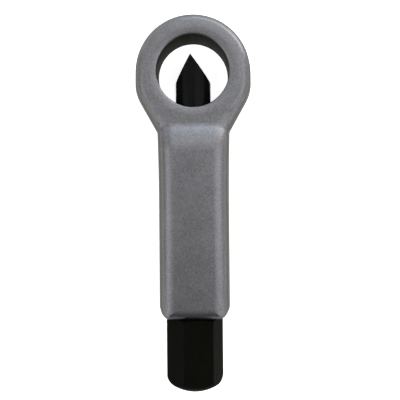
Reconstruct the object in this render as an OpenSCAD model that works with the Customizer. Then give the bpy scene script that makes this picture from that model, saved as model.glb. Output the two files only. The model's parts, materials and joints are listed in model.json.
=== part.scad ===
// Nut splitter: a forged ring on a handle, with a chisel that a forcing screw drives into the eye.
// The eye's axis is Z, the handle runs along -Y, and the origin is the eye's centre on the parting plane.
// The chisel is drawn fully advanced, with the screw's hexagon close to the end of the handle.

/* [Eye and ring] */
// Diameter of the eye that the nut sits in
eye_d = 20.2; // [19.2:0.1:21.2]
// Outside diameter of the ring
ring_d = 33; // [31:0.2:36]
// How far the ring's round outside is set off the eye's centre, for a thicker wall where the nut bears
ring_rise = 0.2; // [0:0.1:1.2]
// Thickness of the ring along the eye's axis
ring_t = 12; // [10.5:0.5:13]
// Radius that rounds the ring's outer edges
ring_edge_r = 3; // [2:0.25:3.5]
// Radius that rounds the rims of the eye
eye_rim_r = 1.1; // [0.6:0.1:1.4]
// Straight side of the ring between its round top and the shoulder
ring_side = 2.9; // [2:0.1:4]
// Radius of the shoulder, where the ring turns into the flank
shoulder_r = 11; // [8:0.5:12]

/* [Handle] */
// Distance from the eye's centre to the end of the handle
handle_end = 68.7; // [66:0.1:80]
// Thickness of the handle
handle_t = 16.5; // [16:0.25:18]
// Width at the neck, below the flanks
neck_w = 20.6; // [19.6:0.1:22]
// Width at the waist
waist_w = 20; // [19:0.1:21]
// Width at the end
end_w = 20; // [19.4:0.1:21]
// Distance from the eye's centre to the waist
waist_at = 37; // [32:1:44]
// Slope of the flanks against the handle, in degrees
flank_angle = 29.3; // [26:0.1:31]
// Radius of the hollow corner between flank and handle
neck_r = 1.4; // [1:0.1:3]
// Radius that rounds the handle's long edges
handle_edge_r = 4; // [3:0.25:4.25]
// Radius of the corners at the handle's end, seen from the front
corner_r = 3; // [2.5:0.1:3.5]
// Radius that rounds the front and back edges of the handle's end
end_edge_r = 2.3; // [1:0.1:2.4]
// Distance from the eye's centre to where the slope up to the handle's face starts
slope_at = 14.5; // [14:0.1:15]
// Length of that slope, which is steep at first and eases into the handle's face
slope_len = 8.1; // [6:0.1:9]
// Draft of the forged sides, in degrees
draft = 7; // [5:0.5:8]

/* [Chisel] */
// Diameter of the chisel
chisel_d = 10; // [9.5:0.1:10.2]
// How far the edge stands past the eye's centre when fully advanced
edge_reach = 4.8; // [3:0.1:6]
// Length of the chisel
chisel_len = 41.8; // [40:0.2:43]
// Length of the two ground faces along the chisel
edge_len = 7.6; // [6:0.1:9]
// How far the edge is ground off the centre line, towards -X
edge_off = 0.7; // [0:0.05:0.8]
// Width of the blunt land along the edge
edge_land = 0.16; // [0.1:0.02:0.3]
// Chamfer at the chisel's tail
tail_chamfer = 0.5; // [0.3:0.1:0.7]
// Width of the keyway along the chisel's back
keyway_w = 3.4; // [3.2:0.1:3.6]
// Depth of the keyway
keyway_depth = 1.5; // [1.2:0.1:1.6]

/* [Forcing screw] */
// Width across the flats of the hexagon
hex_af = 14; // [13:0.5:15]
// Length of the hexagon
hex_len = 20.8; // [17:0.1:24]
// Rotation of the hexagon about the tool's axis in the photographed pose, in degrees
hex_turn = -9; // [-30:1:30]
// Radius of the crown on the free end of the hexagon
crown_r = 12; // [11:0.5:16]
// Radius that leads from the crown into the hexagon's corners
crown_edge_r = 3.5; // [2.5:0.25:4]
// Angle of the bevel on the hexagon's inner end, in degrees
bevel_angle = 30; // [20:5:40]
// Diameter of the screw thread
thread_d = 12; // [11.6:0.1:12.2]
// Length of the chamfer at the thread's front end
thread_chamfer = 1; // [0.6:0.1:1.4]
// Diameter of the turned relief under the hexagon
relief_d = 10.2; // [9.6:0.1:10.8]
// Length of that relief
relief_len = 2; // [1.5:0.1:3]
// Travel of the chisel, from fully advanced until its edge leaves the eye
travel = 15.2; // [15:0.1:15.4]

/* [Thrust joint] */
// Diameter of the thrust ball between screw and chisel
ball_d = 6; // [5.6:0.1:6.2]
// Diameter of the screw's nose inside the chisel
nose_d = 6.8; // [6.6:0.1:7]
// Wire diameter of the snap ring that ties the chisel to the nose
ring_wire_d = 1; // [0.8:0.05:1.1]
// Diameter of the circle that the snap ring's wire follows
ring_path_d = 6.9; // [6.8:0.05:7]
// Opening of the snap ring, in degrees
ring_gap = 40; // [30:5:60]

/* [Guide screw] */
// Distance from the eye's centre to the guide screw
guide_at = 24; // [23.5:0.1:24.3]
// Diameter of the guide screw's thread
guide_d = 5; // [4:0.1:5.4]
// Diameter of its dog point
dog_d = 3.2; // [2.8:0.1:3.3]
// Width across the flats of its hexagon socket
socket_af = 2.5; // [2:0.1:2.8]
// Depth of that socket
socket_depth = 1.4; // [1:0.1:1.6]
// How far its outer end lies below the handle's back
guide_sunk = 0.3; // [0.1:0.1:0.5]

/* [Clearances] */
// Radial clearance of the chisel in its bore
bore_clear = 0.05; // [0.03:0.01:0.08]
// Radial clearance of the screw thread in its hole
thread_clear = 0.05; // [0.03:0.01:0.08]
// Gap between faces that stop just short of each other
face_gap = 0.2; // [0.1:0.05:0.3]
// Radial clearance of the ball in its seat
ball_clear = 0.03; // [0.02:0.01:0.05]
// Clearance of the snap ring in the groove of the nose
groove_clear = 0.1; // [0.08:0.01:0.15]
// How far a cutting shape runs past the solid that it cuts
past = 1; // [0.5:0.5:2]

/* [Hidden] */
$fn = 96;

// Facet counts of the forging's outline and of its rounded edge
ring_steps = 24;
shoulder_steps = 6;
flank_steps = 6;
slope_steps = 3;
neck_steps = 6;
side_steps = 18;
corner_steps = 6;
edge_steps = 7;
// Share of a radius that a rounded corner keeps where an inset would use it up
corner_keep = 0.04;

ring_r = ring_d / 2;
neck_x = neck_w / 2 + neck_r;
side_end = ring_rise - ring_side;
shoulder_end = [ring_r - shoulder_r * (1 - cos(flank_angle)), side_end - shoulder_r * sin(flank_angle)];
neck_top_x = neck_x - neck_r * cos(flank_angle);
neck_y = shoulder_end[1] - (shoulder_end[0] - neck_top_x) / tan(flank_angle) - neck_r * sin(flank_angle);

ball_at = chisel_len - edge_reach - nose_d - face_gap;
tail_at = chisel_len - edge_reach;
shank_front = tail_at + face_gap;
nose_end = ball_at + ball_d / 4;
ring_at = (nose_end + tail_at) / 2 + ring_wire_d / 4;
hex_at = handle_end + face_gap;
hex_r = hex_af / 2 / cos(30);
socket_r = nose_d / 2 + groove_clear;
bore_r = chisel_d / 2 + bore_clear;
thread_r = thread_d / 2;
guide_bore_end = tail_at - face_gap * 5;
key_back = guide_at + dog_d / 2 + face_gap;
key_front = guide_at - travel - dog_d / 2 - face_gap;
key_floor = chisel_d / 2 - keyway_depth;

// Share of the way from the ring's face to the handle's face at a point y along the tool
function risen(y) =
    let (left = 1 - min(1, max(0, (-slope_at - y) / slope_len)))
    1 - left * left;
function half_t(y) = (ring_t + (handle_t - ring_t) * risen(y)) / 2;
function edge_r(y) = ring_edge_r + (handle_edge_r - ring_edge_r) * risen(y);

// Inset and height of a drafted side with a rounded edge, at the angle a around that edge
function inset(a, t, r) = r * cos(draft) + (t - r + r * sin(draft)) * tan(draft) - r * cos(a);
function height(a, t, r) = t - r * (1 - sin(a));
function end_inset(z) =
    let (over = z - handle_t / 2 + end_edge_r)
    over > 0 ? end_edge_r - sqrt(max(0, end_edge_r * end_edge_r - over * over)) : 0;

// Half the handle's width at y, drawn in a little at the waist
function half_w(y) =
    let (above = (y + waist_at) / (waist_at + neck_y), below = (y + waist_at) / (waist_at - handle_end + corner_r))
    y > -waist_at
        ? (waist_w + (neck_w - waist_w) * above * above) / 2
        : (waist_w + (end_w - waist_w) * below * below) / 2;

// Right half of the outline from the ring's top to the end of the handle, inset by dr on the ring, dh on the
// handle and de at the handle's end
function half_outline(dr, dh, de) =
    let (
        low = [ring_r - shoulder_r, side_end],
        from = low + (shoulder_r - dr) * [cos(flank_angle), -sin(flank_angle)],
        to = [neck_x, neck_y] + (neck_r + dh) * [-cos(flank_angle), sin(flank_angle)],
        crease = (from[1] + slope_at) / (from[1] - to[1]),
        rx = max(corner_r - dh, corner_keep * corner_r),
        ry = max(corner_r - de, corner_keep * corner_r),
        corner = [end_w / 2 - dh - rx, de + ry - handle_end]
    )
    concat(
        [for (i = [0 : ring_steps]) let (a = 90 - 90 * i / ring_steps) [0, ring_rise] + (ring_r - dr) * [cos(a), sin(a)]],
        [for (i = [0 : shoulder_steps])
            let (a = -flank_angle * i / shoulder_steps) low + (shoulder_r - dr) * [cos(a), sin(a)]],
        [for (i = [1 : flank_steps]) from + (to - from) * crease * i / flank_steps],
        [for (i = [1 : slope_steps - 1]) from + (to - from) * (crease + (1 - crease) * i / slope_steps)],
        [for (i = [0 : neck_steps])
            let (a = flank_angle * (1 - i / neck_steps)) [neck_x, neck_y] + (neck_r + dh) * [-cos(a), sin(a)]],
        [for (i = [1 : side_steps - 1])
            let (y = neck_y + (corner[1] - neck_y) * pow(i / side_steps, 1.7)) [half_w(y) - dh, y]],
        [for (i = [0 : corner_steps])
            let (a = 90 * i / corner_steps) corner + [rx * cos(a), -ry * sin(a)]]
    );

// Closed loop of the forging's surface at the angle a around its rounded edge, on side +1 or -1 of the parting plane
function edge_loop(a, side) =
    let (
        right = half_outline(
            inset(a, ring_t / 2, ring_edge_r),
            inset(a, handle_t / 2, handle_edge_r),
            end_inset(height(a, handle_t / 2, handle_edge_r))
        ),
        n = len(right)
    )
    [for (i = [0 : 2 * n - 2])
        let (p = right[i < n ? i : 2 * n - 1 - i])
        [i < n ? p[0] : -p[0], p[1], side * height(a, half_t(p[1]), edge_r(p[1]))]];

function parting_loop() =
    let (right = half_outline(0, 0, 0), n = len(right))
    [for (i = [0 : 2 * n - 2]) let (p = right[i < n ? i : 2 * n - 1 - i]) [i < n ? p[0] : -p[0], p[1], 0]];

// The forging without its holes: loops from the front face round the edge to the back face
module blank() {
    angles = [for (i = [0 : edge_steps]) draft + (90 - draft) * (1 - i / edge_steps)];
    loops = concat(
        [for (a = angles) edge_loop(a, 1)],
        [parting_loop()],
        [for (i = [edge_steps : -1 : 0]) edge_loop(angles[i], -1)]
    );
    n = len(loops[0]);
    last = len(loops) - 1;
    half = (n + 1) / 2;
    sides = [for (k = [0 : last - 1], i = [0 : n - 1])
        let (j = (i + 1) % n, a = k * n + i, b = k * n + j, c = a + n, d = b + n)
        each [[a, b, d], [a, d, c]]];
    front = [for (i = [0 : half - 2])
        let (l = (n - i) % n, m = n - i - 1)
        each i == 0 ? [[0, m, 1]] : [[i, l, m], [i, m, i + 1]]];
    back = [for (f = front) [for (i = [2, 1, 0]) f[i] + last * n]];
    polyhedron(points = [for (l = loops) each l], faces = concat(sides, front, back), convexity = 6);
}

// Places children with their Z axis down the handle, along the tool's own axis
module down_the_tool(at = 0) {
    translate([0, -at, 0]) rotate([90, 0, 0]) children();
}

// Ring of metal that, cut away, leaves a rim rounded with the radius r around a hole of radius hole_r
module rim_cut(hole_r, r) {
    rotate_extrude()
        translate([hole_r, 0])
        difference() {
            translate([-r, -r]) square([2 * r, r + past]);
            translate([r, -r]) circle(r);
            translate([-r, -r]) square([r - past / 4, r + past]);
        }
}

module eye_cut() {
    cylinder(h = handle_t, d = eye_d, center = true);
    for (side = [0, 1]) mirror([0, 0, side]) translate([0, 0, ring_t / 2]) rim_cut(eye_d / 2, eye_rim_r);
}

module forged_body() {
    color([0.52, 0.53, 0.55])
    difference() {
        blank();
        eye_cut();
        down_the_tool() cylinder(h = guide_bore_end + past, r = bore_r);
        down_the_tool(guide_bore_end) cylinder(h = handle_end, r = thread_r + thread_clear);
        translate([0, -guide_at, -handle_t]) cylinder(h = handle_t - bore_r + past, d = guide_d);
    }
}

// Hexagon socket screw whose dog point runs in the chisel's keyway and keeps the edge square to the nut
module guide_screw() {
    outer = -handle_t / 2 + guide_sunk;
    shoulder = -bore_r - face_gap;
    tip = -key_floor - face_gap;
    color([0.12, 0.12, 0.13])
    translate([0, -guide_at, 0])
    difference() {
        union() {
            translate([0, 0, outer]) cylinder(h = shoulder - outer, r = guide_d / 2 - ball_clear);
            translate([0, 0, outer]) cylinder(h = tip - outer, d = dog_d);
        }
        translate([0, 0, outer - past]) cylinder(h = past + socket_depth, d = socket_af / cos(30), $fn = 6);
    }
}

module keyway() {
    translate([-keyway_w / 2, -key_back + keyway_w / 2, -chisel_d])
        cube([keyway_w, key_back - key_front - keyway_w, chisel_d - key_floor]);
    for (y = [-key_back + keyway_w / 2, -key_front - keyway_w / 2])
        translate([0, y, -chisel_d]) cylinder(h = chisel_d - key_floor, d = keyway_w);
}

// Outline of the ground edge, seen along the eye's axis
module ground_edge() {
    r = chisel_d / 2;
    back = edge_reach - edge_len;
    polygon([
        [-edge_off - edge_land / 2, edge_reach],
        [-edge_off + edge_land / 2, edge_reach],
        [r, back],
        [r, -tail_at - past],
        [-r, -tail_at - past],
        [-r, back]
    ]);
}

module chisel() {
    color([0.08, 0.08, 0.085])
    difference() {
        intersection() {
            down_the_tool(-edge_reach) cylinder(h = chisel_len, d = chisel_d);
            linear_extrude(2 * chisel_d, center = true) ground_edge();
            down_the_tool(-edge_reach) union() {
                cylinder(h = chisel_len - tail_chamfer, d = chisel_d + past);
                translate([0, 0, chisel_len - tail_chamfer])
                    cylinder(h = tail_chamfer, r1 = chisel_d / 2, r2 = chisel_d / 2 - tail_chamfer);
            }
        }
        keyway();
        down_the_tool(ball_at) cylinder(h = tail_at - ball_at + past, r = socket_r);
        translate([0, -ball_at, 0]) sphere(d = ball_d + 2 * ball_clear);
        down_the_tool(ring_at) rotate_extrude() translate([ring_path_d / 2, 0]) circle(d = ring_wire_d + ball_clear);
    }
}

module thrust_ball() {
    color([0.75, 0.76, 0.78]) translate([0, -ball_at, 0]) sphere(d = ball_d);
}

module snap_ring() {
    color([0.3, 0.3, 0.32])
    down_the_tool(ring_at)
        rotate([0, 0, 90 + ring_gap / 2])
        rotate_extrude(angle = 360 - ring_gap)
        translate([ring_path_d / 2, 0]) circle(d = ring_wire_d);
}

// Section of the turned head: bevelled at the handle, crowned at the free end
module head_section() {
    bevel = (hex_r - hex_af / 2) * tan(bevel_angle);
    // Centre of the edge's arc, which touches the crown's arc from inside
    crown_at = [0, hex_len - crown_r];
    edge_x = hex_r - crown_edge_r;
    edge_at = [edge_x, crown_at[1] + sqrt(pow(crown_r - crown_edge_r, 2) - edge_x * edge_x)];
    meet = crown_at + (edge_at - crown_at) * (crown_r + past) / (crown_r - crown_edge_r);
    polygon([[0, 0], [hex_af / 2, 0], [hex_r, bevel], [hex_r, edge_at[1]], [0, edge_at[1]]]);
    translate(edge_at) circle(crown_edge_r);
    intersection() {
        translate(crown_at) circle(crown_r);
        polygon([[0, bevel], [edge_x, bevel], edge_at, meet, [0, hex_len + past]]);
    }
}

module forcing_screw() {
    color([0.07, 0.07, 0.07])
    difference() {
        union() {
            down_the_tool(hex_at) intersection() {
                rotate([0, 0, hex_turn]) cylinder(h = hex_len, r = hex_r, $fn = 6);
                rotate_extrude() head_section();
            }
            down_the_tool(nose_end) cylinder(h = hex_at - nose_end + past, d = nose_d);
            down_the_tool(shank_front + thread_chamfer)
                cylinder(h = hex_at - relief_len - shank_front - thread_chamfer, r = thread_r);
            down_the_tool(shank_front)
                cylinder(h = thread_chamfer, r1 = thread_r - thread_chamfer, r2 = thread_r);
            down_the_tool(shank_front + thread_chamfer)
                cylinder(h = hex_at - shank_front - thread_chamfer + past, d = relief_d);
        }
        translate([0, -ball_at, 0]) sphere(d = ball_d + 3 * groove_clear);
        down_the_tool(ring_at) rotate_extrude()
            translate([ring_path_d / 2, 0]) circle(d = ring_wire_d + 2 * groove_clear);
    }
}

forged_body();
guide_screw();
chisel();
thrust_ball();
snap_ring();
forcing_screw();
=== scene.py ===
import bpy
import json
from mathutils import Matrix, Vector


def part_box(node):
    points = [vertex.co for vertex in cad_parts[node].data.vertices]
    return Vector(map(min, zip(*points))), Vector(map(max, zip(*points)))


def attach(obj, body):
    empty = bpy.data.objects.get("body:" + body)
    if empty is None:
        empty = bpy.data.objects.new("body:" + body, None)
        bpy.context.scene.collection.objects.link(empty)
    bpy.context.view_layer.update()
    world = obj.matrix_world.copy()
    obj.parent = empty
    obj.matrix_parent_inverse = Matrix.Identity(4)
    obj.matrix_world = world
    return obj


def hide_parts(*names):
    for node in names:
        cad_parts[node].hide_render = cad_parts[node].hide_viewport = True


bl_info = {
    "name": "Nut splitter",
    "version": (1, 0, 0),
    "blender": (4, 5, 0),
    "location": "3D View > Sidebar > Nut splitter",
    "description": "Finishes a ring-type nut splitter and lays it on a studio floor",
    "category": "Object",
}

import json
import math

import bmesh
import bpy
from mathutils import Matrix, Vector
from mathutils.bvhtree import BVHTree

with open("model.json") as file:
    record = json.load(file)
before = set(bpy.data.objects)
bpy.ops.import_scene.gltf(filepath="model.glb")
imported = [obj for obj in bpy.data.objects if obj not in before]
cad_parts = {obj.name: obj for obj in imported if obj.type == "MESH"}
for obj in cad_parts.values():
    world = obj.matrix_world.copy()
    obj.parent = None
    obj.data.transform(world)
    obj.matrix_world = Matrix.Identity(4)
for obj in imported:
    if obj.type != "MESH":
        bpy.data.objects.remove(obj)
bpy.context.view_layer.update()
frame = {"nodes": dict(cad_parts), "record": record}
NODES = frame["nodes"]
MM = 0.001

# The eye's axis is Z, the handle runs along -Y, and the tool lies on the flat back of its handle
BODY_LOW, BODY_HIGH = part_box("forged_body")
SCREW_LOW, SCREW_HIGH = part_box("forcing_screw")
JOINTS = frame["record"]["behaviour"]["joints"]
HEAD_START = next(-joint["pos_m"][1] for joint in JOINTS if joint["name"] == "screw_turn")

# A hexagon's sides, and the angle from one of its edges to the middle of a side
SIDES = 6
HALF_SIDE = math.radians(30)


def linear(hex_colour):
    """sRGB hex colour as linear RGBA."""
    parts = [int(hex_colour[i:i + 2], 16) / 255 for i in (0, 2, 4)]
    return [p / 12.92 if p <= 0.04045 else ((p + 0.055) / 1.055) ** 2.4 for p in parts] + [1.0]


def add(tree, kind, inputs=None, **settings):
    """Adds a node with its settings. An input that is a socket is linked, and any other is set as a value."""
    node = tree.nodes.new(kind)
    for key, value in settings.items():
        setattr(node, key, value)
    for key, value in (inputs or {}).items():
        if isinstance(value, bpy.types.NodeSocket):
            tree.links.new(value, node.inputs[key])
        else:
            node.inputs[key].default_value = value
    return node


def per_metre(size_mm):
    """Noise scale that gives features of about size_mm."""
    return 1 / (size_mm * MM)


def new_material(name):
    """Empty node material and its tree."""
    material = bpy.data.materials.new(name)
    material.use_nodes = True
    material.node_tree.nodes.clear()
    return material, material.node_tree


def plated_face(tree, place, finish):
    """Nickel-chrome plate over shot-blasted steel: a soft pearl grey with a fine grain of dimples."""
    # Shot leaves dimples of about a tenth of a millimetre, drawn some four times as wide so that they show
    grit = add(tree, "ShaderNodeTexNoise", {"Vector": place, "Scale": per_metre(finish.grit), "Detail": 3.0})
    # Plate thickness drifts over a few millimetres and shows as faint clouds
    cloud = add(tree, "ShaderNodeTexNoise", {"Vector": place, "Scale": per_metre(finish.cloud),
                                             "Detail": 2.0})
    cloud_share = 0.25
    spread = add(tree, "ShaderNodeMath", {0: cloud.outputs["Fac"], 1: cloud_share, 2: grit.outputs["Fac"]},
                 operation="MULTIPLY_ADD")
    # The middle of what both noises add up to is stretched from the dark tone to the light one
    grain_low, grain_high = 0.43, 0.82
    grain = add(tree, "ShaderNodeMapRange", {"Value": spread.outputs[0], "From Min": grain_low,
                                             "From Max": grain_high})
    tone = add(tree, "ShaderNodeMix", {"Factor": grain.outputs["Result"], "A": linear(finish.plate_dark),
                                       "B": linear(finish.plate_light)}, data_type="RGBA")

    # Painted shade and reflection: the steep sides are darkened and tinted olive, standing in for the dim
    # room that they mirror
    side_upright, face_upright = 0.3, 0.8
    normal = add(tree, "ShaderNodeNewGeometry").outputs["Normal"]
    facing = add(tree, "ShaderNodeSeparateXYZ", {"Vector": normal})
    upright = add(tree, "ShaderNodeMath", {0: facing.outputs["Z"]}, operation="ABSOLUTE")
    side_shade_mask = add(tree, "ShaderNodeMapRange", {"Value": upright.outputs[0], "From Min": side_upright,
                                             "From Max": face_upright, "To Min": 1.0, "To Max": 0.0})
    sides = add(tree, "ShaderNodeMix", {"Factor": side_shade_mask.outputs["Result"], "A": tone.outputs["Result"],
                                        "B": linear(finish.painted_side_shade)},
                data_type="RGBA", blend_type="MULTIPLY")

    # Where the flash was ground off, a narrow ragged band on the parting plane has the plate's darker tone
    raggedness = 0.6
    band_low = (1 - raggedness) * finish.flash_band
    band_high = (1 + raggedness) * finish.flash_band
    apart = add(tree, "ShaderNodeSeparateXYZ", {"Vector": place})
    level = add(tree, "ShaderNodeMath", {0: apart.outputs["Z"]}, operation="ABSOLUTE")
    ragged = add(tree, "ShaderNodeMapRange", {"Value": cloud.outputs["Fac"], "To Min": band_low,
                                              "To Max": band_high})
    trimmed = add(tree, "ShaderNodeMath", {0: level.outputs[0], 1: ragged.outputs["Result"]},
                  operation="LESS_THAN")
    plate = add(tree, "ShaderNodeMix", {"Factor": trimmed.outputs[0], "A": sides.outputs["Result"],
                                        "B": linear(finish.plate_dark)}, data_type="RGBA")

    # Roughness drifts with the clouds, and the ground band is smoother
    drift = 0.02
    ground = -0.12
    rough = add(tree, "ShaderNodeMapRange", {"Value": cloud.outputs["Fac"],
                                             "To Min": finish.plate_rough - drift,
                                             "To Max": finish.plate_rough + drift})
    smoother = add(tree, "ShaderNodeMath", {0: trimmed.outputs[0], 1: ground, 2: rough.outputs["Result"]},
                   operation="MULTIPLY_ADD")
    # The band lies a dimple's depth lower
    relief = add(tree, "ShaderNodeMath", {0: trimmed.outputs[0], 1: -1.0, 2: grit.outputs["Fac"]},
                 operation="MULTIPLY_ADD")
    bump = add(tree, "ShaderNodeBump", {"Height": relief.outputs[0], "Strength": 1.0,
                                        "Distance": finish.dimple})
    metal = add(tree, "ShaderNodeBsdfPrincipled", {
        "Base Color": plate.outputs["Result"], "Metallic": 1.0, "Roughness": smoother.outputs[0],
        "Normal": bump.outputs["Normal"], "Specular Tint": (0.5, 0.5, 0.5, 1.0),
    })
    return metal.outputs["BSDF"]


def shaded_bored_wall(tree, place, finish):
    """Dark tone painted as the shade inside the eye, with fine boring marks."""
    # The marks run round the eye every few tenths of a millimetre
    marks_mm = 0.35
    round_the_eye = (0.05, 0.05, 1.0)
    rings = add(tree, "ShaderNodeMapping", {"Vector": place, "Scale": round_the_eye})
    marks = add(tree, "ShaderNodeTexNoise", {"Vector": rings.outputs["Vector"], "Scale": per_metre(marks_mm)})
    wall_shade_tone = add(tree, "ShaderNodeMix", {"Factor": marks.outputs["Fac"], "A": linear(finish.bored_shade_dark),
                                        "B": linear(finish.bored_shade_light)}, data_type="RGBA")
    wall = add(tree, "ShaderNodeBsdfPrincipled", {
        "Base Color": wall_shade_tone.outputs["Result"], "Roughness": 0.6, "Specular IOR Level": 0.02,
    })
    return wall.outputs["BSDF"]


def satin_nickel_chrome():
    """Satin nickel-chrome plate on the forging. The eye's wall is painted dark as the shade inside the eye.
    """
    scene = bpy.context.scene
    material, tree = new_material("satin_nickel_chrome_plate")
    place = add(tree, "ShaderNodeTexCoord").outputs["Object"]
    plate = plated_face(tree, place, scene.splitter_finish)
    wall = shaded_bored_wall(tree, place, scene.splitter_finish)
    # The painted shade of the eye's wall starts just outside the eye, where the rim starts to turn
    painted_shade_edge = scene.splitter_form.eye + 0.08 * MM
    apart = add(tree, "ShaderNodeSeparateXYZ", {"Vector": place})
    flat = add(tree, "ShaderNodeCombineXYZ", {"X": apart.outputs["X"], "Y": apart.outputs["Y"], "Z": 0.0})
    radius = add(tree, "ShaderNodeVectorMath", {0: flat.outputs["Vector"]}, operation="LENGTH")
    inside = add(tree, "ShaderNodeMath", {0: radius.outputs["Value"], 1: painted_shade_edge}, operation="LESS_THAN")
    both = add(tree, "ShaderNodeMixShader", {0: inside.outputs[0], 1: plate, 2: wall})
    add(tree, "ShaderNodeOutputMaterial", {"Surface": both.outputs["Shader"]})
    return material


def blackened_steel(name, colour, rough, marks_mm, run, shine=0.03):
    """Black oxide over machined steel: near black with a faint olive cast and a soft oily sheen.
    The tool marks are marks_mm apart and drawn out along the run, a stretch on each axis."""
    material, tree = new_material(name)
    place = add(tree, "ShaderNodeTexCoord").outputs["Object"]
    drawn = add(tree, "ShaderNodeMapping", {"Vector": place, "Scale": run})
    marks = add(tree, "ShaderNodeTexNoise", {"Vector": drawn.outputs["Vector"], "Scale": per_metre(marks_mm),
                                             "Detail": 2.0})
    # Oil lies unevenly and clouds the black over a few millimetres
    oil_mm = 3.0
    oil = add(tree, "ShaderNodeTexNoise", {"Vector": place, "Scale": per_metre(oil_mm), "Detail": 2.0})
    shade = add(tree, "ShaderNodeMath", {0: marks.outputs["Fac"], 1: oil.outputs["Fac"]},
                operation="MULTIPLY")
    # Rubbed ridges between the marks are about twice as bright
    rubbed = 2.2
    black = linear(colour)
    worn = [min(1.0, rubbed * part) for part in black[:3]] + [1.0]
    tone = add(tree, "ShaderNodeMix", {"Factor": shade.outputs[0], "A": black, "B": worn}, data_type="RGBA")
    oily, dry = rough - 0.06, rough + 0.08
    roughness = add(tree, "ShaderNodeMapRange", {"Value": oil.outputs["Fac"], "To Min": oily, "To Max": dry})
    bump = add(tree, "ShaderNodeBump", {"Height": marks.outputs["Fac"], "Strength": 0.15,
                                        "Distance": 0.1 * MM})
    oxide = add(tree, "ShaderNodeBsdfPrincipled", {
        "Base Color": tone.outputs["Result"], "Roughness": roughness.outputs["Result"],
        "Specular IOR Level": shine, "Normal": bump.outputs["Normal"],
    })
    add(tree, "ShaderNodeOutputMaterial", {"Surface": oxide.outputs["BSDF"]})
    return material


def bright_steel(name, dark, light, rough, marks_mm, run):
    """Bare hardened steel, ground or drawn: metal with fine marks drawn out along the run."""
    material, tree = new_material(name)
    place = add(tree, "ShaderNodeTexCoord").outputs["Object"]
    drawn = add(tree, "ShaderNodeMapping", {"Vector": place, "Scale": run})
    marks = add(tree, "ShaderNodeTexNoise", {"Vector": drawn.outputs["Vector"], "Scale": per_metre(marks_mm)})
    tone = add(tree, "ShaderNodeMix", {"Factor": marks.outputs["Fac"], "A": linear(dark),
                                       "B": linear(light)}, data_type="RGBA")
    uneven = 0.2
    roughness = add(tree, "ShaderNodeMapRange", {"Value": marks.outputs["Fac"],
                                                 "To Min": (1 - uneven) * rough,
                                                 "To Max": (1 + uneven) * rough})
    metal = add(tree, "ShaderNodeBsdfPrincipled", {
        "Base Color": tone.outputs["Result"], "Metallic": 1.0, "Roughness": roughness.outputs["Result"],
    })
    add(tree, "ShaderNodeOutputMaterial", {"Surface": metal.outputs["BSDF"]})
    return material


def dress(node, material):
    """Gives a CAD node its one material."""
    materials = NODES[node].data.materials
    materials.clear()
    materials.append(material)


class SPLITTER_PG_finish(bpy.types.PropertyGroup):
    plate_dark: bpy.props.StringProperty(
        name="Plate, dark", description="Darker tone of the satin plate", default="666669")
    plate_light: bpy.props.StringProperty(
        name="Plate, light", description="Lighter tone of the satin plate", default="7a7a7d")
    # Painted shade: steep sides are multiplied by this olive tint to darken them
    painted_side_shade: bpy.props.StringProperty(
        name="Plate, sides", description="Tint of the plate down the drafted sides", default="c4c7b0")
    # Painted shade: the eye's wall is drawn in these dark tones, with boring marks between them
    bored_shade_dark: bpy.props.StringProperty(
        name="Bored wall, dark", description="Wall of the eye", default="121208")
    bored_shade_light: bpy.props.StringProperty(
        name="Bored wall, light", description="Boring marks in the wall of the eye", default="1e1e10")
    chisel_black: bpy.props.StringProperty(
        name="Chisel", description="Blackened tool steel", default="090909")
    screw_black: bpy.props.StringProperty(
        name="Screw", description="Oiled black oxide", default="090a07")
    thread_black: bpy.props.StringProperty(
        name="Thread", description="Black oxide rubbed thin by the tapped hole", default="1c1c1a")
    ball_dark: bpy.props.StringProperty(
        name="Ball, dark", description="Darker tone of the thrust ball", default="a9abae")
    ball_light: bpy.props.StringProperty(
        name="Ball, light", description="Lighter tone of the thrust ball", default="c4c6c9")
    wire_dark: bpy.props.StringProperty(
        name="Snap ring, dark", description="Darker tone of the drawn wire", default="4c4c4e")
    wire_light: bpy.props.StringProperty(
        name="Snap ring, light", description="Lighter tone of the drawn wire", default="6a6a6e")
    plate_rough: bpy.props.FloatProperty(
        name="Plate roughness", description="Blur of what the plate mirrors", default=0.42, min=0.1, max=1.0)
    grit: bpy.props.FloatProperty(
        name="Blasting grain", description="Size of the grain that shows, in millimetres", default=0.45,
        min=0.1, max=2.0)
    cloud: bpy.props.FloatProperty(
        name="Plate clouds", description="Size of the faint clouds, in millimetres", default=5.0, min=1.0,
        max=20.0)
    flash_band: bpy.props.FloatProperty(
        name="Flash band", description="Half the band where the flash was ground off", default=0.3 * MM,
        unit="LENGTH")
    dimple: bpy.props.FloatProperty(
        name="Dimples", description="Depth of the blasting dimples", default=0.03 * MM, unit="LENGTH")


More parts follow.
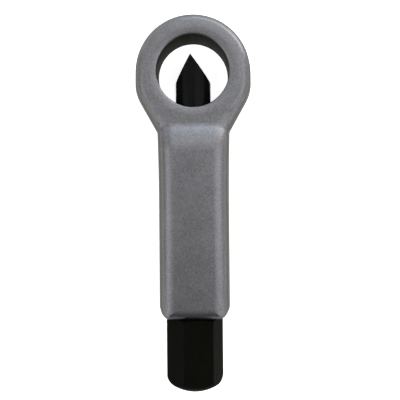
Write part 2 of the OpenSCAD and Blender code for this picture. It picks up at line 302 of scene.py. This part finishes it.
class SPLITTER_PG_form(bpy.types.PropertyGroup):
    ring_half: bpy.props.FloatProperty(
        name="Ring, half", description="Half the ring's thickness", default=6 * MM, unit="LENGTH")
    eye: bpy.props.FloatProperty(
        name="Eye radius", description="Radius of the bored eye", default=10.1 * MM, unit="LENGTH")
    solid_rim: bpy.props.FloatProperty(
        name="Rim, solid", description="Rounding of the eye's rims in the solid, with a little to spare",
        default=1.11 * MM, unit="LENGTH")
    rim: bpy.props.FloatProperty(
        name="Rim", description="Rounding of the eye's rims", default=0.5 * MM, unit="LENGTH")
    rim_reach: bpy.props.FloatProperty(
        name="Rim's reach", description="Radius up to which the face follows the rim", default=13.2 * MM,
        unit="LENGTH")
    crown_middle: bpy.props.FloatProperty(
        name="Crown middle", description="Radius at which the ring's face is level", default=12.4 * MM,
        unit="LENGTH")
    crown_end: bpy.props.FloatProperty(
        name="Crown end", description="Radius at which the crown gives way to the edge", default=14.9 * MM,
        unit="LENGTH")
    crown_radius: bpy.props.FloatProperty(
        name="Crown radius", description="Curvature across the ring's face", default=8 * MM, unit="LENGTH")
    crown_fade: bpy.props.FloatProperty(
        name="Crown fade", description="Length over which the crown runs out towards the handle",
        default=4 * MM, unit="LENGTH")
    edge_late: bpy.props.FloatProperty(
        name="Edge, late", description="From the level ring to where the edge is filled out",
        default=0.8 * MM, unit="LENGTH")
    edge_fill: bpy.props.FloatProperty(
        name="Edge fill", description="How fast the edge is filled out, per metre", default=190.0)
    slope_at: bpy.props.FloatProperty(
        name="Slope place", description="From the eye's axis to the crease before the slope",
        default=14.5 * MM, unit="LENGTH")
    slope_length: bpy.props.FloatProperty(
        name="Slope length", description="From the crease to the handle's face", default=8.1 * MM,
        unit="LENGTH")
    crease_fillet: bpy.props.FloatProperty(
        name="Crease fillet", description="Length over which the crease is filled", default=1.4 * MM,
        unit="LENGTH")
    fold_depth: bpy.props.FloatProperty(
        name="Fold depth", description="How far below the face the solid's folded rows reach",
        default=0.1 * MM, unit="LENGTH")
    fold_length: bpy.props.FloatProperty(
        name="Fold length", description="How far past the crease the solid's folded rows reach",
        default=0.5 * MM, unit="LENGTH")
    fold_lean: bpy.props.FloatProperty(
        name="Fold lean", description="How far the rows' ends stand out for each step past the crease",
        default=0.735)
    bore: bpy.props.FloatProperty(
        name="Bore", description="Radius of the chisel's bore, with a little to spare", default=5.1 * MM,
        unit="LENGTH")
    bore_clear: bpy.props.FloatProperty(
        name="Bore clear", description="Height below which the form is left as it is, for the bore",
        default=5.2 * MM, unit="LENGTH")
    facet: bpy.props.FloatProperty(
        name="Facet", description="Longest edge of the soft faces", default=0.8 * MM, unit="LENGTH")


class SPLITTER_PG_screw(bpy.types.PropertyGroup):
    head_start: bpy.props.FloatProperty(
        name="Head start", description="From the eye's axis to the hexagon", default=HEAD_START,
        unit="LENGTH")
    head_end: bpy.props.FloatProperty(
        name="Head end", description="From the eye's axis to the crown", default=-SCREW_LOW.y, unit="LENGTH")
    nose_end: bpy.props.FloatProperty(
        name="Nose end", description="From the eye's axis to the nose", default=-SCREW_HIGH.y, unit="LENGTH")
    flats: bpy.props.FloatProperty(
        name="Across flats", description="Wrench size of the hexagon", default=14 * MM, unit="LENGTH")
    turn: bpy.props.FloatProperty(
        name="Turn", description="Turn of the hexagon at rest", default=math.radians(-9), subtype="ANGLE")
    corner: bpy.props.FloatProperty(
        name="Corner", description="Rounding of the hexagon's six edges", default=0.25 * MM, unit="LENGTH")
    crown: bpy.props.FloatProperty(
        name="Crown", description="Radius of the crowned end", default=12 * MM, unit="LENGTH")
    crown_edge: bpy.props.FloatProperty(
        name="Crown edge", description="Radius that rounds the crown's edge", default=3.5 * MM, unit="LENGTH")
    bevel_start: bpy.props.FloatProperty(
        name="Bevel start", description="How far inside the flats the inner face's bevel starts",
        default=0.1 * MM, unit="LENGTH")
    thread: bpy.props.FloatProperty(
        name="Thread", description="Major diameter of the thread", default=12 * MM, unit="LENGTH")
    pitch: bpy.props.FloatProperty(
        name="Pitch", description="Rise of the thread in one turn", default=1.5 * MM, unit="LENGTH")
    thread_chamfer: bpy.props.FloatProperty(
        name="Thread chamfer", description="Chamfer at the start of the thread", default=MM, unit="LENGTH")
    shank_start: bpy.props.FloatProperty(
        name="Thread start", description="From the eye's axis to the thread", default=37.2 * MM,
        unit="LENGTH")
    relief_length: bpy.props.FloatProperty(
        name="Relief length", description="Plain neck under the hexagon", default=2 * MM, unit="LENGTH")
    relief: bpy.props.FloatProperty(
        name="Relief", description="Diameter of the plain neck", default=10.2 * MM, unit="LENGTH")
    neck_fillet: bpy.props.FloatProperty(
        name="Neck fillet", description="Radius between the plain neck and the hexagon", default=0.3 * MM,
        unit="LENGTH")
    nose: bpy.props.FloatProperty(
        name="Nose", description="Diameter of the nose inside the chisel", default=6.8 * MM, unit="LENGTH")
    nose_chamfer: bpy.props.FloatProperty(
        name="Nose chamfer", description="Chamfer round the ball seat", default=0.12 * MM, unit="LENGTH")
    ring_at: bpy.props.FloatProperty(
        name="Groove place", description="From the eye's axis to the snap ring's groove", default=34.5 * MM,
        unit="LENGTH")
    ring_path: bpy.props.FloatProperty(
        name="Groove path", description="Diameter of the snap ring's path", default=6.9 * MM, unit="LENGTH")
    groove: bpy.props.FloatProperty(
        name="Groove", description="Width of the snap ring's groove", default=1.2 * MM, unit="LENGTH")
    ball_at: bpy.props.FloatProperty(
        name="Ball place", description="From the eye's axis to the thrust ball", default=30 * MM,
        unit="LENGTH")
    seat: bpy.props.FloatProperty(
        name="Ball seat", description="Diameter of the seat in the nose", default=6.3 * MM, unit="LENGTH")


class SPLITTER_PG_stage(bpy.types.PropertyGroup):
    focal: bpy.props.FloatProperty(
        name="Focal length", description="Camera lens in millimetres", default=56.85)
    camera_at: bpy.props.FloatVectorProperty(
        name="Camera place", description="Camera above the tool's middle plane",
        default=(0.00296, -0.03891, 0.180), subtype="TRANSLATION")
    look_at: bpy.props.FloatVectorProperty(
        name="Picture middle", description="Point in the middle of the picture",
        default=(0.00170, -0.03584, 0.0), subtype="TRANSLATION")
    roll: bpy.props.FloatProperty(
        name="Roll", description="Turn of the picture", default=math.radians(-0.48), subtype="ANGLE")
    near_clip: bpy.props.FloatProperty(
        name="Near clip", description="Nearest that the camera shows", default=0.01, unit="LENGTH")
    floor_half: bpy.props.FloatProperty(
        name="Floor", description="Half the floor's side", default=3.0, unit="LENGTH")
    floor_gap: bpy.props.FloatProperty(
        name="Floor gap", description="Gap between the handle's back and the floor", default=0.02 * MM,
        unit="LENGTH")
    paper_dark: bpy.props.StringProperty(
        name="Paper, dark", description="Darker tone of the paper", default="f0f0f0")
    paper_light: bpy.props.StringProperty(
        name="Paper, light", description="Lighter tone of the paper", default="f4f4f4")
    paper_glow: bpy.props.FloatProperty(
        name="Paper white", description="White that the paper shows on top of its light", default=0.8)
    world: bpy.props.FloatProperty(
        name="World", description="Even light all round", default=0.11)
    lamp_level: bpy.props.FloatProperty(
        name="Lamps", description="Power of all the softboxes", default=1.0)
    lamp_aim: bpy.props.FloatVectorProperty(
        name="Lamps' aim", description="Point that the softboxes face", default=(0.0, -0.036, 0.0),
        subtype="TRANSLATION")
    daylight: bpy.props.StringProperty(
        name="Daylight", description="Colour of the softbox behind the ring", default="e6f3ff")


def held(value):
    """The value, kept between 0 and 1."""
    return min(max(value, 0.0), 1.0)


def crown_lift(form, y, radius):
    """Height of the crowned ring face against the flat one. It falls to the rim and towards the edge."""
    reach = min(max(radius, form.eye), form.crown_end) - form.crown_middle
    # Towards the handle the face runs out level
    outward = max(reach, 0.0) * held((y + form.slope_at) / form.crown_fade)
    inward = min(reach, 0.0)
    # The edge's rounding starts further out than the solid's
    late = max(outward - form.edge_late, 0.0)
    return form.edge_fill * late ** 2 - (outward ** 2 + inward ** 2) / (2 * form.crown_radius)


def half_thickness(form, y):
    """Half the forging's thickness at y: a filled crease, then a rise that fades into the handle's face."""
    at = held((-form.slope_at - y) / form.slope_length)
    turn = form.crease_fillet / form.slope_length
    rise = at * at / turn if at < turn else 1 - (1 - at) ** 2 / (1 - turn)
    return form.ring_half + (BODY_HIGH.z - form.ring_half) * rise


def rim_radius(form, radius):
    """Radius of a point once the eye's rim is drawn in. The face follows as far as the rim's reach."""
    solid_end = form.eye + form.solid_rim
    end = form.eye + form.rim
    if radius < solid_end:
        return form.eye + (radius - form.eye) * form.rim / form.solid_rim
    return end + (radius - solid_end) * (form.rim_reach - end) / (form.rim_reach - solid_end)


def is_soft(form, vert):
    """Whether a point is on the ring's faces or the slope, clear of the chisel's bore."""
    margin = 0.1 * MM
    slope_end = -form.slope_at - form.slope_length
    return abs(vert.co.z) > form.bore_clear and vert.co.y > slope_end - margin


def soft_edges(mesh, form):
    """Edges of the ring's faces and the slope."""
    return [edge for edge in mesh.edges if is_soft(form, edge.verts[0]) and is_soft(form, edge.verts[1])]


def one_skin(node):
    """Copy of a CAD node's mesh in triangles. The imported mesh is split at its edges, and the copy isn't."""
    same_point = 0.0001 * MM
    mesh = bmesh.new()
    mesh.from_mesh(NODES[node].data)
    bmesh.ops.remove_doubles(mesh, verts=mesh.verts, dist=same_point)
    bmesh.ops.triangulate(mesh, faces=mesh.faces)
    return mesh


def unfold_crease(mesh, form):
    """Draws the solid's rows together at the crease, where they run back and forth over each other."""
    slack = 0.001 * MM
    same_row = 0.01 * MM
    sliver = 0.03 * MM
    crease = [vert for vert in mesh.verts if abs(vert.co.z) > form.ring_half - form.fold_depth
              and -slack <= vert.co.y + form.slope_at < form.fold_length]
    for vert in crease:
        vert.co.x -= math.copysign(form.fold_lean * (vert.co.y + form.slope_at), vert.co.x)
        vert.co.y = -form.slope_at
    bmesh.ops.remove_doubles(mesh, verts=crease, dist=same_row)
    bmesh.ops.dissolve_degenerate(mesh, edges=soft_edges(mesh, form), dist=sliver)
    bmesh.ops.triangulate(mesh, faces=[face for face in mesh.faces if len(face.verts) > 3])


def split_soft_faces(mesh, form):
    """Splits the soft faces until they can follow the curves. The longest edges come first and one to a face,
    so that every split leaves plain triangles."""
    most_rounds = 60
    for _ in range(most_rounds):
        coarse = [edge for edge in soft_edges(mesh, form) if edge.calc_length() > form.facet]
        coarse.sort(key=lambda edge: (-edge.calc_length(), edge.index))
        taken = set()
        split = []
        for edge in coarse:
            if not taken.intersection(edge.link_faces):
                taken.update(edge.link_faces)
                split.append(edge)
        if not split:
            break
        bmesh.ops.subdivide_edges(mesh, edges=split, cuts=1, use_single_edge=True)
        mesh.edges.index_update()


def draw_rim_in(form, vert):
    """Breaks the eye's rim only a little. The chisel's bore stays as it is."""
    x, y, z = vert.co
    radius = math.hypot(x, y)
    on_bore = y < 0 and math.hypot(x, z) < form.bore
    if radius < form.rim_reach and abs(z) > form.ring_half - form.solid_rim and not on_bore:
        scale = rim_radius(form, radius) / radius
        depth = (form.ring_half - abs(z)) * form.rim / form.solid_rim
        vert.co = (x * scale, y * scale, math.copysign(form.ring_half - depth, z))


def lift_face(form, solid, vert):
    """Lifts a point to the crowned ring or the smooth slope: all the way on the face, and not at all where
    the bore begins."""
    x, y, z = vert.co
    # Height of the solid's face here
    flat = form.ring_half
    if y < -form.slope_at:
        above, down = Vector((0, y, 1)), Vector((0, 0, -1))
        flat = solid.ray_cast(above, down)[0].z
    share = held((abs(z) - form.bore_clear) / (form.ring_half - form.bore_clear))
    eased = share * share * (3 - 2 * share)
    wanted = half_thickness(form, y) + crown_lift(form, y, math.hypot(x, y))
    vert.co.z = z * (1 + eased * (wanted / flat - 1))


def closed_piece(mesh, name, sharp):
    """Object of a closed mesh, smooth except at edges that turn by more than the sharp angle."""
    loose = [edge for edge in mesh.edges if len(edge.link_faces) != 2]
    if loose:
        raise RuntimeError(f"{name} has {len(loose)} open or doubled edges")
    for face in mesh.faces:
        face.smooth = True
    data = bpy.data.meshes.new(name)
    mesh.to_mesh(data)
    mesh.free()
    data.set_sharp_from_angle(angle=sharp)
    piece = bpy.data.objects.new(name, data)
    bpy.context.collection.objects.link(piece)
    return piece


class SPLITTER_OT_forging(bpy.types.Operator):
    """Forges the ring and handle: the solid's form with a crowned ring and a soft slope"""
    bl_idname = "splitter.forging"
    bl_label = "Forged body"

    def execute(self, context):
        form = context.scene.splitter_form
        mesh = one_skin("forged_body")
        unfold_crease(mesh, form)
        solid = BVHTree.FromBMesh(mesh)
        split_soft_faces(mesh, form)
        for vert in mesh.verts:
            draw_rim_in(form, vert)
            if is_soft(form, vert):
                lift_face(form, solid, vert)
        forging = closed_piece(mesh, "forging", sharp=math.radians(30))
        forging.data.materials.append(satin_nickel_chrome())
        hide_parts("forged_body")
        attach(forging, "frame")
        return {"FINISHED"}


class SPLITTER_OT_chisel(bpy.types.Operator):
    """Finishes the chisel and what ties it to the screw"""
    bl_idname = "splitter.chisel"
    bl_label = "Chisel and thrust joint"

    def execute(self, context):
        finish = context.scene.splitter_finish
        # Centreless grinding leaves fine marks round the bar, so they are short along it
        dress("chisel", blackened_steel("blackened_tool_steel", finish.chisel_black, rough=0.22,
                                        marks_mm=0.5, run=(0.2, 1.0, 0.2), shine=0.05))
        # A lapped ball has no grain, only faint clouds
        dress("thrust_ball", bright_steel("lapped_bearing_steel", finish.ball_dark, finish.ball_light,
                                          rough=0.12, marks_mm=0.8, run=(1.0, 1.0, 1.0)))
        # Drawing leaves lines along the wire
        dress("snap_ring", bright_steel("drawn_spring_wire", finish.wire_dark, finish.wire_light,
                                        rough=0.3, marks_mm=0.2, run=(0.2, 1.0, 0.2)))
        # A machined set screw, with its marks round its own axis
        dress("guide_screw", blackened_steel("black_oxide_set_screw", finish.screw_black, rough=0.45,
                                             marks_mm=0.25, run=(0.3, 0.3, 1.0)))
        return {"FINISHED"}


def shank_profile(size):
    """Radius and distance from the eye's axis of the nose and its groove, from the ball seat outwards."""
    seat_steps = 7
    groove_steps = 5
    seat = size.seat / 2
    rim = math.acos((size.nose_end - size.ball_at) / seat)
    points = []
    for i in range(1, seat_steps + 1):
        angle = rim * i / seat_steps
        points.append((seat * math.sin(angle), size.ball_at + seat * math.cos(angle)))
    nose = size.nose / 2
    points += [(nose - size.nose_chamfer, size.nose_end), (nose, size.nose_end + size.nose_chamfer)]
    path = size.ring_path / 2
    groove = size.groove / 2
    lip = math.acos((path - nose) / groove)
    for i in range(-groove_steps, groove_steps + 1):
        angle = lip * i / groove_steps
        points.append((path - groove * math.cos(angle), size.ring_at + groove * math.sin(angle)))
    points.append((nose, size.shank_start))
    return points


def thread_rows(size, columns):
    """Rows of the rolled thread, four to a turn: root, flank, crest, flank. It is a right-hand thread, so the
    rows rise by one pitch round the shank. They are held between the chamfer and the relief."""
    # A metric thread's depth and crest are shares of its pitch, and its flanks lean by 30 degrees
    pitch = size.pitch
    depth = 0.6134 * pitch
    crest = 0.125 * pitch
    flank = depth * math.tan(math.radians(30))
    major = size.thread / 2
    relief = size.relief / 2
    start = size.shank_start
    end = size.head_start - size.relief_length
    profile = [(-crest / 2 - flank, major - depth), (-crest / 2, major), (crest / 2, major),
               (crest / 2 + flank, major - depth)]
    # Turns beyond both ends, so that the helix covers the whole shank
    spare = 2
    rows = []
    for turn in range(-spare, round((end - start) / pitch) + spare + 1):
        for along, radius in profile:
            row = []
            for column in range(columns):
                s = start + (turn + column / columns) * pitch + along
                kept = min(max(s, start), end)
                # The start is chamfered at 45 degrees, and the thread runs out into the relief the same way
                limit = min(major, major - size.thread_chamfer + (kept - start), relief + (end - kept))
                row.append((min(radius, limit) if start < s < end else limit, kept))
            rows.append(row)
    return rows


def hexagon_radius(size, angle):
    """Distance from the axis to the hexagon's side, with rounded edges. The angle is from the nearest one."""
    half = size.flats / 2
    centre = (half - size.corner) / math.cos(HALF_SIDE)
    reach = math.atan2(size.corner / 2, centre + size.corner * math.cos(HALF_SIDE))
    if abs(angle) < reach:
        return centre * math.cos(angle) + math.sqrt(size.corner ** 2 - (centre * math.sin(angle)) ** 2)
    return half / math.cos(HALF_SIDE - abs(angle))


def crown_height(size, radius):
    """Distance from the hexagon's start to the crowned end at a radius: a wide arc with a rounded edge."""
    length = size.head_end - size.head_start
    # The edge's arc touches the wide arc, and its side touches the hexagon's corners
    edge_x = size.flats / 2 / math.cos(HALF_SIDE) - size.crown_edge
    drop = math.sqrt((size.crown - size.crown_edge) ** 2 - edge_x ** 2)
    edge_s = length - size.crown + drop
    meet = edge_x * size.crown / (size.crown - size.crown_edge)
    if radius <= meet:
        return length - size.crown + math.sqrt(size.crown ** 2 - radius ** 2)
    return edge_s + math.sqrt(max(0.0, size.crown_edge ** 2 - (radius - edge_x) ** 2))


def head_rows(size, angles):
    """Rows of the hexagon's head, from its bevelled inner face over its sides to the crowned end."""
    # Two rows beside each end of the sides keep the shading of the flats level
    near, far = 0.15 * MM, 0.6 * MM
    crown_shares = (0.985, 0.965, 0.94, 0.91, 0.87, 0.82, 0.75, 0.66, 0.55, 0.43, 0.3, 0.17)
    bevel_slope = math.tan(math.radians(30))
    radii = [hexagon_radius(size, angle) for angle in angles]
    face = size.flats / 2 - size.bevel_start
    neck = size.relief / 2 + size.neck_fillet
    at = size.head_start
    bevel = [at + (radius - face) * bevel_slope for radius in radii]
    tops = [at + crown_height(size, radius) for radius in radii]
    rows = [[(neck, at)] * len(radii), [(face, at)] * len(radii)]
    for inset in (0.0, near, far):
        rows.append([(radius, s + inset) for radius, s in zip(radii, bevel)])
    for inset in (far, near, 0.0):
        rows.append([(radius, s - inset) for radius, s in zip(radii, tops)])
    for share in crown_shares:
        rows.append([(radius * share, at + crown_height(size, radius * share)) for radius in radii])
    return rows


class SPLITTER_OT_screw(bpy.types.Operator):
    """Builds the forcing screw with its rolled thread and hexagon"""
    bl_idname = "splitter.screw"
    bl_label = "Forcing screw"

    def execute(self, context):
        size = context.scene.splitter_screw
        # Columns of one side, in degrees from its edge. They crowd there, and are even round the shank
        side = [-2.0, -0.9, -0.45, 0.0, 0.45, 0.9, 2.0, 5.5, 10.0, 15.0, 20.0, 25.0, 30.0, 35.0, 40.0, 45.0,
                50.0, 54.5]
        side_turn = 360 / SIDES
        columns = SIDES * len(side)
        from_edge = [math.radians((angle + side_turn / 2) % side_turn - side_turn / 2)
                     for _ in range(SIDES) for angle in side]
        head_turn = [size.turn + math.radians(side_turn * k + angle) for k in range(SIDES) for angle in side]
        even_turn = [size.turn + math.radians(360 * (i - side.index(0.0)) / columns) for i in range(columns)]

        mesh = bmesh.new()

        def ring(row, turns):
            """Points round the axis, one for each radius and distance in the row."""
            return [mesh.verts.new((radius * math.cos(turn), -s, radius * math.sin(turn)))
                    for (radius, s), turn in zip(row, turns)]

        def join(first, second):
            """Faces between two closed rows."""
            for i in range(columns):
                j = (i + 1) % columns
                mesh.faces.new((first[i], first[j], second[j], second[i]))

        nose = [ring([point] * columns, even_turn) for point in shank_profile(size)]
        seat = mesh.verts.new((0, -(size.ball_at + size.seat / 2), 0))
        for i in range(columns):
            mesh.faces.new((seat, nose[0][(i + 1) % columns], nose[0][i]))
        for first, second in zip(nose, nose[1:]):
            join(first, second)

        helix = [ring(row, even_turn) for row in thread_rows(size, columns)]
        rows_in_turn = 4
        for i, row in enumerate(helix[:-1]):
            for j in range(columns - 1):
                mesh.faces.new((row[j], row[j + 1], helix[i + 1][j + 1], helix[i + 1][j]))
            # One turn on, the row meets the one that starts a pitch further along
            ahead = i + rows_in_turn
            if ahead + 1 < len(helix):
                mesh.faces.new((row[-1], helix[ahead][0], helix[ahead + 1][0], helix[i + 1][-1]))
        thread_end = (size.thread / 2 - size.thread_chamfer, size.shank_start)
        join(nose[-1], ring([thread_end] * columns, even_turn))

        # The middle of the fillet's quarter round lies about this share of its radius from both ends
        fillet_share = 0.3
        neck = size.relief / 2
        turn_in = fillet_share * size.neck_fillet
        relief = [(neck, size.head_start - size.relief_length), (neck, size.head_start - size.neck_fillet),
                  (neck + turn_in, size.head_start - turn_in)]
        relief = [ring([point] * columns, even_turn) for point in relief]
        for first, second in zip(relief, relief[1:]):
            join(first, second)

        head = [ring(row, head_turn) for row in head_rows(size, from_edge)]
        join(relief[-1], head[0])
        for first, second in zip(head, head[1:]):
            join(first, second)
        tip = mesh.verts.new((0, -size.head_end, 0))
        for i in range(columns):
            mesh.faces.new((tip, head[-1][i], head[-1][(i + 1) % columns]))

        # The rows that are held at the thread's ends fall together there
        same_point = 0.0005 * MM
        bmesh.ops.remove_doubles(mesh, verts=mesh.verts, dist=same_point)
        bmesh.ops.dissolve_degenerate(mesh, edges=mesh.edges, dist=same_point)
        bmesh.ops.recalc_face_normals(mesh, faces=mesh.faces)
        shank_end = size.head_start - size.relief_length
        for face in mesh.faces:
            face.material_index = int(-face.calc_center_median().y < shank_end)
        screw = closed_piece(mesh, "forcing_screw_threaded", sharp=math.radians(25))
        finish = context.scene.splitter_finish
        # Cold-drawn hexagon bar keeps faint lines along its length
        screw.data.materials.append(blackened_steel("black_oxide_steel", finish.screw_black, rough=0.6,
                                                    marks_mm=0.4, run=(1.0, 0.12, 1.0), shine=0.01))
        # The thread is rubbed smooth by the tapped hole and lies under grease
        screw.data.materials.append(blackened_steel("rubbed_black_oxide", finish.thread_black, rough=0.35,
                                                    marks_mm=0.3, run=(0.5, 1.0, 0.5), shine=0.4))
        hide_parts("forcing_screw")
        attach(screw, "screw")
        return {"FINISHED"}


# Softboxes round the tool: name, place, size and watts. The light comes mostly from beyond the ring
LAMPS = (
    ("back_softbox", (0.0, 0.50, 0.22), 0.30, 0.95),
    ("back_strip", (0.20, 0.45, 0.17), 0.20, 0.60),
    ("top_softbox", (0.0, 0.26, 0.48), 0.30, 0.55),
    ("back_right_low", (0.38, 0.34, 0.09), 0.20, 0.95),
    ("back_right_softbox", (0.28, 0.28, 0.36), 0.30, 0.46),
    ("back_left_softbox", (-0.34, 0.34, 0.22), 0.30, 0.51),
    ("right_softbox", (0.24, -0.03, 0.48), 0.30, 0.64),
    ("right_low", (0.46, -0.03, 0.30), 0.30, 0.56),
    ("left_softbox", (-0.24, -0.03, 0.48), 0.30, 0.41),
    ("left_low", (-0.44, -0.03, 0.34), 0.30, 0.62),
    ("front_left_low", (-0.42, -0.28, 0.16), 0.20, 0.35),
    ("front_right_low", (0.42, -0.28, 0.16), 0.20, 0.35),
)


def area_lamp(name, place, aim, size, power):
    """Square studio lamp at a place, facing the aim."""
    lamp = bpy.data.lights.new(name, "AREA")
    lamp.shape = "SQUARE"
    lamp.size = size
    lamp.energy = power
    obj = bpy.data.objects.new(name, lamp)
    bpy.context.collection.objects.link(obj)
    obj.location = place
    obj.rotation_euler = (Vector(aim) - Vector(place)).to_track_quat("-Z", "Y").to_euler()


def paper_white():
    """White paper sweep: it shows plain white to the camera and in the metal, and keeps a soft shadow."""
    stage = bpy.context.scene.splitter_stage
    material, tree = new_material("white_paper")
    ray = add(tree, "ShaderNodeLightPath")
    seen = add(tree, "ShaderNodeMath", {0: ray.outputs["Is Camera Ray"], 1: ray.outputs["Is Glossy Ray"]},
               operation="MAXIMUM")
    seen = add(tree, "ShaderNodeMath", {0: seen.outputs[0], 1: ray.outputs["Is Transmission Ray"]},
               operation="MAXIMUM")
    lift = add(tree, "ShaderNodeMath", {0: seen.outputs[0], 1: stage.paper_glow}, operation="MULTIPLY")
    # Paper fibres are far finer than a pixel, so they are drawn as faint clouds of half a millimetre
    fibre_mm = 0.5
    place = add(tree, "ShaderNodeTexCoord").outputs["Object"]
    fibre = add(tree, "ShaderNodeTexNoise", {"Vector": place, "Scale": per_metre(fibre_mm)})
    tone = add(tree, "ShaderNodeMix", {"Factor": fibre.outputs["Fac"], "A": linear(stage.paper_dark),
                                       "B": linear(stage.paper_light)}, data_type="RGBA")
    paper = add(tree, "ShaderNodeBsdfPrincipled", {"Base Color": tone.outputs["Result"], "Roughness": 0.9,
                                                   "Specular IOR Level": 0.1})
    glow = add(tree, "ShaderNodeEmission", {"Color": (1, 1, 1, 1), "Strength": lift.outputs[0]})
    both = add(tree, "ShaderNodeAddShader", {0: paper.outputs["BSDF"], 1: glow.outputs["Emission"]})
    add(tree, "ShaderNodeOutputMaterial", {"Surface": both.outputs["Shader"]})
    return material


class SPLITTER_OT_stage(bpy.types.Operator):
    """Adds the floor, the lamps, the world and the camera"""
    bl_idname = "splitter.stage"
    bl_label = "Studio"

    def execute(self, context):
        stage = context.scene.splitter_stage
        scene = context.scene
        scene.view_settings.view_transform = "Standard"
        half = stage.floor_half
        z = BODY_LOW.z - stage.floor_gap
        mesh = bpy.data.meshes.new("floor")
        mesh.from_pydata([(-half, -half, z), (half, -half, z), (half, half, z), (-half, half, z)], [],
                         [(0, 1, 2, 3)])
        floor = bpy.data.objects.new("floor", mesh)
        floor.data.materials.append(paper_white())
        context.collection.objects.link(floor)

        world = bpy.data.worlds.new("studio")
        world.use_nodes = True
        world.node_tree.nodes["Background"].inputs["Color"].default_value = (1, 1, 1, 1)
        world.node_tree.nodes["Background"].inputs["Strength"].default_value = stage.world
        scene.world = world
        for name, place, size, power in LAMPS:
            area_lamp(name, place, stage.lamp_aim, size, power * stage.lamp_level)
        # The one straight behind the ring is a cool daylight
        bpy.data.lights["back_softbox"].color = linear(stage.daylight)[:3]

        lens = bpy.data.cameras.new("camera")
        lens.lens = stage.focal
        lens.clip_start = stage.near_clip
        camera = bpy.data.objects.new("camera", lens)
        context.collection.objects.link(camera)
        place = Vector(stage.camera_at)
        toward = (Vector(stage.look_at) - place).normalized()
        up = Vector((-math.sin(stage.roll), math.cos(stage.roll), 0))
        side = toward.cross(up).normalized()
        up = side.cross(toward)
        facing = Matrix((side, up, -toward)).transposed().to_4x4()
        camera.matrix_world = Matrix.Translation(place) @ facing
        scene.camera = camera
        return {"FINISHED"}


class SPLITTER_PT_panel(bpy.types.Panel):
    """Lists the steps that make the nut splitter"""
    bl_label = "Nut splitter"
    bl_idname = "SPLITTER_PT_panel"
    bl_space_type = "VIEW_3D"
    bl_region_type = "UI"
    bl_category = "Nut splitter"

    def draw(self, context):
        for step in STEPS:
            self.layout.operator(step.bl_idname)


STEPS = (SPLITTER_OT_forging, SPLITTER_OT_chisel, SPLITTER_OT_screw, SPLITTER_OT_stage)
GROUPS = {"splitter_finish": SPLITTER_PG_finish, "splitter_form": SPLITTER_PG_form,
          "splitter_screw": SPLITTER_PG_screw, "splitter_stage": SPLITTER_PG_stage}
CLASSES = (*GROUPS.values(), *STEPS, SPLITTER_PT_panel)


def register():
    for cls in CLASSES:
        bpy.utils.register_class(cls)
    for name, group in GROUPS.items():
        setattr(bpy.types.Scene, name, bpy.props.PointerProperty(type=group))


def unregister():
    for name in GROUPS:
        delattr(bpy.types.Scene, name)
    for cls in reversed(CLASSES):
        bpy.utils.unregister_class(cls)


def main():
    register()
    bpy.ops.splitter.forging()
    bpy.ops.splitter.chisel()
    bpy.ops.splitter.screw()
    bpy.ops.splitter.stage()


if __name__ == "__main__":
    main()
